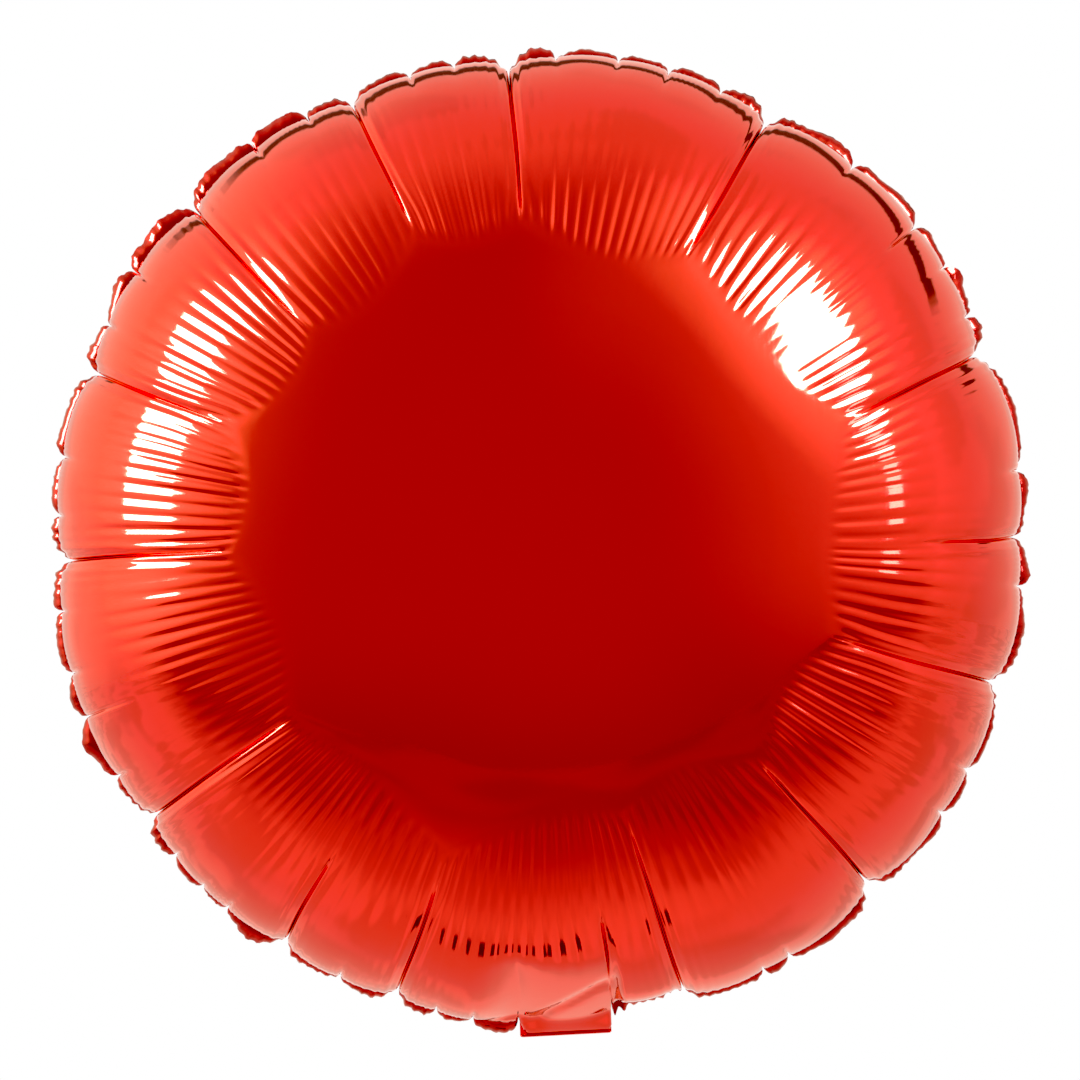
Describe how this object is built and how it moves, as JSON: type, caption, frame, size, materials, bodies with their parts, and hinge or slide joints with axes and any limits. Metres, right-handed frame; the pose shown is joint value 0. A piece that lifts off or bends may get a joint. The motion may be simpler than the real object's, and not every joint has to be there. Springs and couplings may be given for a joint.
{
  "type": "foil balloon",
  "caption": "Round inflated foil balloon with gathered creases around its rim, a heat-sealed border, a neck with a folding filling tail and a flat one-way valve inside.",
  "frame": {"origin": "middle of the fold line between the balloon's neck and its filling tail", "axes": "+Z from the fold up through the balloon's centre, +Y from the front panel to the back panel, +X to the right as seen from the front"},
  "size_m": [0.3524, 0.2016, 0.3545],
  "materials": {
    "red_foil": "mirror-bright metallised film, red",
    "valve_film": "clear polyethylene film",
    "release_print": "thin matt printed coat"
  },
  "bodies": {
    "balloon": {"front_panel": "red_foil", "back_panel": "red_foil", "valve_front_film": "valve_film", "valve_back_film": "valve_film", "valve_release_print": "release_print"},
    "tail": {"tail_front_film": "red_foil", "tail_back_film": "red_foil", "tail_valve_front_film": "valve_film", "tail_valve_back_film": "valve_film"}
  },
  "joints": [
    {"name": "tail_fold", "type": "hinge", "parent": "balloon", "child": "tail", "pos_m": [0, 0, 0], "axis": [-1, 0, 0], "range_deg": [0, 224.1]}
  ]
}
